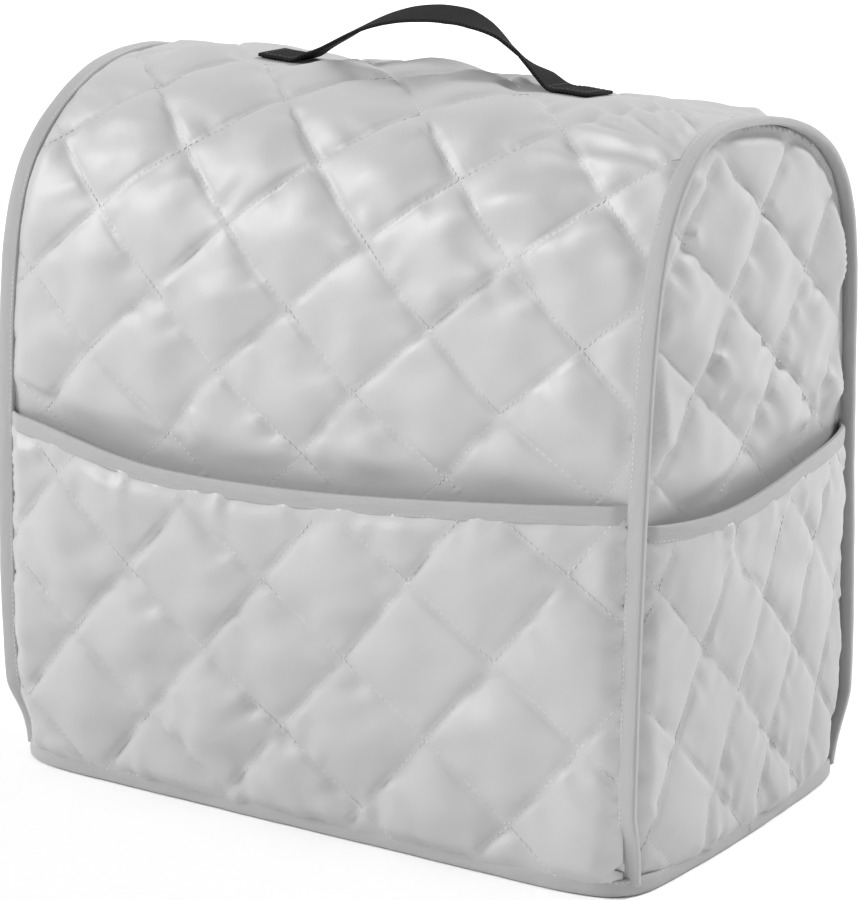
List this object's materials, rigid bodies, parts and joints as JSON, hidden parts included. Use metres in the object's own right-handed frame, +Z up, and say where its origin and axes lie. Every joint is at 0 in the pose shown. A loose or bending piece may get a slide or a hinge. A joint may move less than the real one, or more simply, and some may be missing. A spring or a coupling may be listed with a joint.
{
  "type": "quilted bread maker cover",
  "caption": "Quilted silver-grey satin cover for a bread maker, with bound seams, open pockets on the front and one end, and a black carrying strap.",
  "frame": {"origin": "under the middle of the cover's box, on the surface it stands on", "axes": "+Z up from the hem to the crown, -Y towards the front with its pocket, +X towards the end with a pocket"},
  "size_m": [0.3898, 0.2551, 0.3904],
  "materials": {
    "quilted_satin": "satin",
    "binding_tape": "matte",
    "strap_webbing": "matte"
  },
  "bodies": {
    "root": {"body_panel": "quilted_satin", "right_end_panel": "quilted_satin", "left_end_panel": "quilted_satin", "front_pocket": "quilted_satin", "end_pocket": "quilted_satin", "right_seam_binding": "binding_tape", "left_seam_binding": "binding_tape", "hem_binding": "binding_tape", "front_pocket_binding": "binding_tape", "end_pocket_binding": "binding_tape", "handle_strap": "strap_webbing"}
  },
  "joints": []
}
